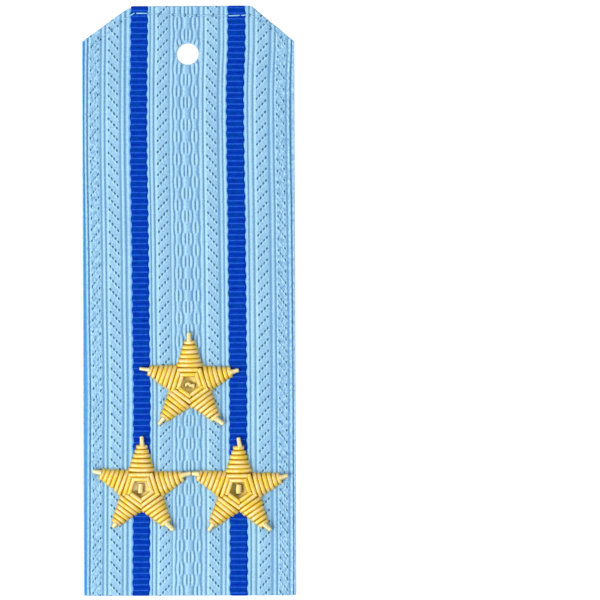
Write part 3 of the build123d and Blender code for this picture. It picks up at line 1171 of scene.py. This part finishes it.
def arch(half_width, height, radius, u, slant):
    """The line of a strand over an arm's padding, from the cloth on one side to the cloth on the other."""
    angles = np.linspace(0.0, math.pi, 41)
    wide = half_width - 0.85 * radius
    v = wide * np.sign(np.cos(angles)) * np.abs(np.cos(angles)) ** ARCH_POWER
    z = ARM_FOOT + (height - radius - ARM_FOOT) * np.abs(np.sin(angles)) ** ARCH_POWER
    return np.column_stack([u + slant * v + BULGE * (height - z), v, z])


# How much the strands of an arm differ
WIDTH_SPREAD = 0.04
HEIGHT_SPREAD = 0.03
PLACE_SPREAD = 0.03
RADIUS_SPREAD = 0.015
SLANT_SPREAD = 0.012


def arm_strands(lean):
    strands = []
    pitch = (ARM_END - ARM_START) / ARM_STRANDS
    for index in range(ARM_STRANDS):
        half_width, height = arm_section((index + 0.5) / ARM_STRANDS)
        half_width += RNG.normal(0, WIDTH_SPREAD)
        height += RNG.normal(0, HEIGHT_SPREAD)
        u = ARM_START + (index + 0.5) * pitch + RNG.normal(0, PLACE_SPREAD)
        radius = STRAND_RADIUS * (1 + RNG.normal(0, RADIUS_SPREAD))
        line = arch(half_width, height, radius, u, RNG.normal(0, SLANT_SPREAD) - lean.turn)
        line[:, 1] += lean_at(lean, u)
        strands.append(purl(line, radius, (-1, 0, 0), turn=RNG.random() * 3))
    return [*strands, arm_pad(lean)]


def arm_pad(lean):
    """The padding under an arm's strands: points, faces and how deep in the shade they lie."""
    sides = 16
    points = []
    rings = ((ARM_START - 0.2, 0.0), (ARM_START, 0.0), (ARM_END - 0.4, 0.95), (ARM_END - 0.2, 1.0))
    for u, share in rings:
        half_width, height = (size - STRAND_RADIUS for size in arm_section(share))
        for angle in np.linspace(0, math.pi, sides):
            wide = half_width * np.sign(math.cos(angle)) * abs(math.cos(angle)) ** ARCH_POWER
            z = ARM_FOOT + (height - ARM_FOOT) * math.sin(angle) ** ARCH_POWER
            points.append((u, wide + lean_at(lean, u), z))
    return np.array(points), tube_faces(len(rings), sides), np.full(len(points), 1.0)


RING_HEIGHT = 2.04
RING_SAG = 0.10  # how much lower a strand's ends lie than its middle
RING_SHIFT = 0.42  # how far each strand is shifted along its side, to end on the next one's end
RING_SPREAD = 0.05
RISE_SPREAD = 0.04
OUT_SPREAD = 0.02
RING_PAD_HEIGHT = 1.35


def ring_strands(inner):
    """Five straight strands round the window, each ending on the next one's end."""
    apothem = inner + STRAND_PITCH / 2
    half = apothem * math.tan(math.pi / SIDES)
    strands = []
    for k in range(SIDES):
        a = 2 * math.pi * k / SIDES
        start, stop = (end + RING_SHIFT + RNG.normal(0, RING_SPREAD) for end in (-half, half))
        v = np.linspace(start, stop, 9)
        z = RING_HEIGHT - STRAND_RADIUS + RNG.normal(0, RISE_SPREAD) - RING_SAG * (v / half) ** 2
        u = apothem + RNG.normal(0, OUT_SPREAD)
        line = np.column_stack([u * math.cos(a) - v * math.sin(a), u * math.sin(a) + v * math.cos(a), z])
        strands.append(purl(line, STRAND_RADIUS, turn=RNG.random() * 3))
    return [*strands, ring_pad(inner)]


def ring_pad(inner):
    """The padding under a ring's strands, painted in the shade between strands."""
    section = ((0.15, ARM_FOOT), (0.25, RING_PAD_HEIGHT), (STRAND_PITCH - 0.05, RING_PAD_HEIGHT),
               (STRAND_PITCH, ARM_FOOT))
    points = []
    for k in range(SIDES):
        corner = 2 * math.pi * (k + 0.5) / SIDES
        for out, z in section:
            reach = (inner + out) / math.cos(math.pi / SIDES)
            points.append((reach * math.cos(corner), reach * math.sin(corner), z))
    faces = grid_faces(SIDES, len(section), closed=True, looped=True)
    return np.array(points), faces, np.full(len(points), 1.0)


# The tips: how far to the left of the arm's even line each starts and ends, how far out it ends, its radius
# and its shade, anticlockwise from the top arm
Tip = namedtuple("Tip", "start stop reach radius shade")
TIPS = {
    "star_top": (
        Tip(0.07, 0.17, 12.1, 0.54, 0.2), Tip(-0.32, 0.14, 12.35, 0.42, 0.6),
        Tip(-0.25, -0.36, 12.0, 0.50, 0.9), Tip(0.14, 0.92, 12.35, 0.57, 0.8),
        Tip(-0.40, -0.45, 12.0, 0.54, 0.4),
    ),
    "star_left": (
        Tip(-0.30, -0.17, 12.3, 0.50, 0.3), Tip(-0.70, -0.42, 12.1, 0.55, 0.5),
        Tip(0.02, -0.10, 11.3, 0.52, 0.9), Tip(0.0, 0.38, 12.4, 0.57, 0.9),
        Tip(0.02, -0.22, 12.3, 0.55, 0.4),
    ),
    "star_right": (
        Tip(-0.33, 0.10, 12.3, 0.50, 0.2), Tip(-0.66, -0.26, 11.72, 0.57, 0.6),
        Tip(-0.26, -0.17, 12.0, 0.52, 0.9), Tip(0.0, 0.45, 12.15, 0.54, 0.8),
        Tip(-0.36, -0.38, 12.0, 0.55, 0.5),
    ),
}
TIP_TUCK = 0.35  # how far a tip reaches under the arm's last strand
TIP_HEIGHT = 0.75
TIP_FALL = 0.2
TIP_FLARE = 0.28


def tip_strand(tip):
    share = np.linspace(0, 1, 9)
    start = ARM_END - TIP_TUCK
    u = start + share * (tip.reach - start)
    v = tip.start + share * (tip.stop - tip.start)
    line = np.column_stack([u, v, TIP_HEIGHT - TIP_FALL * share])
    return [purl(line, tip.radius, turn=RNG.random() * 3, flare=TIP_FLARE)]


# How pale, dark and brown each fifth of a sequin's cup is, anticlockwise from the top: the pale is a
# painted reflection, the dark painted shade, and the brown makes the gilt browner
CupShading = namedtuple("CupShading", "pale dark brown")
CUP_SHADINGS = {
    "star_top": (
        CupShading(0.10, 0.05, 0.40), CupShading(0.30, 0.0, 0.15), CupShading(0.15, 0.0, 0.15), CupShading(0.08, 0.05, 0.30),
        CupShading(0.0, 0.15, 0.20),
    ),
    "star_left": (
        CupShading(0.90, 0.0, 0.0), CupShading(1.0, 0.0, 0.0), CupShading(0.0, 0.40, 0.65), CupShading(0.40, 0.10, 0.25),
        CupShading(0.50, 0.05, 0.0),
    ),
    "star_right": (
        CupShading(0.10, 0.10, 0.40), CupShading(0.0, 0.60, 0.0), CupShading(0.0, 0.65, 0.0), CupShading(0.10, 0.0, 0.50),
        CupShading(0.05, 0.05, 0.55),
    ),
}
CUP_SHADING_BLEND = 0.125  # over what share of a fifth one shade turns into the next


def cup_shading_at(star, x, y):
    cup_shadings = np.array(CUP_SHADINGS[star])
    turn = (np.degrees(np.arctan2(y, x)) - 90) / (360 / SIDES)
    near = np.round(turn)
    share = 0.5 * smooth((np.abs(turn - near) - 0.5 + CUP_SHADING_BLEND) / CUP_SHADING_BLEND)[:, None]
    beside = near + np.sign(turn - near)
    near, beside = (k.astype(int) % SIDES for k in (near, beside))
    return (1 - share) * cup_shadings[near] + share * cup_shadings[beside]


SEQUIN_FLOORS = {"star_top": 0.33, "star_left": 0.62, "star_right": 0.33}  # how high the cup's floor lies
SEQUIN_SIDES = 40
CRIMP = 0.03  # how far the facets' edges rise
CRIMPS = 10


def make_sequin(star, place):
    """A cupped disc with a faceted rim."""
    floor = SEQUIN_FLOORS[star]
    # Its section from the middle below, round the rim, to the middle above: radius and height
    section = ((0.0, floor - 0.15), (0.8, floor - 0.15), (0.95, floor - 0.09), (2.32, 0.78), (2.34, 0.92),
               (2.26, 0.93), (0.93, floor + 0.07), (0.8, floor), (0.0, floor))
    points = []
    for radius, z in section:
        crimp = CRIMP if 0.9 < radius < 2.3 else 0.0
        for a in (2 * math.pi * k / SEQUIN_SIDES for k in range(SEQUIN_SIDES)):
            points.append((radius * math.cos(a), radius * math.sin(a), z + crimp * math.cos(CRIMPS * a)))
    faces = grid_faces(len(section), SEQUIN_SIDES, closed=True)
    made = mesh_object(f"{star}_sequin_cup", np.array(points) + place, faces)
    mesh = bmesh.new()
    mesh.from_mesh(made.data)
    bmesh.ops.remove_doubles(mesh, verts=mesh.verts, dist=1e-6)
    bmesh.ops.dissolve_degenerate(mesh, edges=mesh.edges, dist=1e-7)
    bmesh.ops.recalc_face_normals(mesh, faces=mesh.faces)
    mesh.to_mesh(made.data)
    mesh.free()
    x, y = np.array([(v.co.x / MM - place[0], v.co.y / MM - place[1]) for v in made.data.vertices]).T
    set_attribute(made, "cup_shading", cup_shading_at(star, x, y))
    made.data.materials.append(SEQUIN_GILT)
    stand_in(made, f"{star}_sequin")


# The bit of coil on each sequin, as places from the sequin's middle
Chip = namedtuple("Chip", "radius shade height places")
CHIPS = {
    "star_top": Chip(0.42, 0.8, 0.72, (
        (-0.84, -0.55), (-0.80, -0.08), (-0.46, 0.20), (-0.12, 0.08), (0.12, -0.22), (0.40, -0.36),
        (0.70, -0.28), (0.96, -0.18), (1.00, -0.52), (0.80, -0.82),
    )),
    "star_left": Chip(0.76, 0.45, 0.80, ((-0.06, -0.95), (-0.10, -0.35), (-0.08, 0.35), (0.0, 1.12))),
    "star_right": Chip(0.78, 0.9, 0.66, ((-0.02, -0.80), (-0.05, -0.15), (0.0, 0.50), (0.05, 1.12))),
}
CHIP_RISE = 0.12


def chip_strand(chip):
    count = len(chip.places)
    at = np.linspace(0, count - 1, 25)
    middle = (count - 1) / 2
    x, y = (np.interp(at, np.arange(count), values) for values in zip(*chip.places))
    z = chip.height + CHIP_RISE * np.cos(math.pi / 2 * (at - middle) / middle)
    return [purl(np.column_stack([x, y, z]), chip.radius, turn=1.0)]


def make_star(star):
    x, y, _ = middle_of(f"{star}_sequin")
    place = np.array([x, y, CREST_Z - 0.02])
    for k, (lean, tip) in enumerate(zip(LEANS[star], TIPS[star])):
        turn = math.pi / 2 + 2 * math.pi * k / SIDES
        make_purl(f"{star}_arm_{k + 1}", arm_strands(lean), place, turn, GOLD)
        make_purl(f"{star}_tip_{k + 1}", tip_strand(tip), place, turn, PALE_GOLD, tip.shade)
    for name, inner in (("ring_inner", WINDOW_APOTHEM), ("ring_outer", WINDOW_APOTHEM + STRAND_PITCH)):
        make_purl(f"{star}_{name}", ring_strands(inner), place, math.pi / 2, GOLD)
    make_sequin(star, place)
    chip = CHIPS[star]
    make_purl(f"{star}_chip", chip_strand(chip), place, 0.0, CHIP_GOLD, chip.shade)


# The hem's stitches

THREAD_RADIUS = 0.14
THREAD_SIDES = 8
STITCH_DEPTH = 0.30  # below the crests, where the thread goes into the cloth
STITCH_RISE = 0.17
STITCH_SHARE = (0.06, 0.94)  # of the way from hole to hole


def make_stitches():
    """Machine stitches along the cut end, from needle hole to needle hole."""
    points, faces, bright = [], [], []
    count = 0
    share = np.linspace(*STITCH_SHARE, 13)
    for start, stop in zip(NEEDLE_HOLES, NEEDLE_HOLES[1:]):
        x = start + share * (stop - start)
        z = CREST_Z - STITCH_DEPTH + STITCH_RISE * np.sin(math.pi * share) ** 0.35
        line = np.column_stack([x, seam_y(x), z])
        ring = rings_round(line, THREAD_SIDES)[1]
        points.append((line[:, None, :] + THREAD_RADIUS * ring).reshape(-1, 3))
        over = smooth((STRIPE_WIDTH / 2 + 0.2 - np.abs(np.abs(x) - STRIPE_OFFSET)) / 0.3)
        bright.append(np.repeat(over, THREAD_SIDES))
        faces += tube_faces(len(line), THREAD_SIDES, count)
        count += len(points[-1])
    made = mesh_object("hem_stitches", np.vstack(points), faces)
    set_attribute(made, "bright", np.concatenate(bright))
    made.data.materials.append(thread_material())
    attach(made, "root")


STRIPE_SILK = stripe_material()
GOLD, PALE_GOLD, CHIP_GOLD = (gold_material(gilt) for gilt in GILTS)
SEQUIN_GILT = sequin_material()

bpy.context.scene.view_settings.view_transform = "Standard"
make_camera()
make_lights()
make_floor()
board = make_board()
make_stripe(-1)
make_stripe(1)
make_stitches()
for star_name in ("star_top", "star_left", "star_right"):
    make_star(star_name)
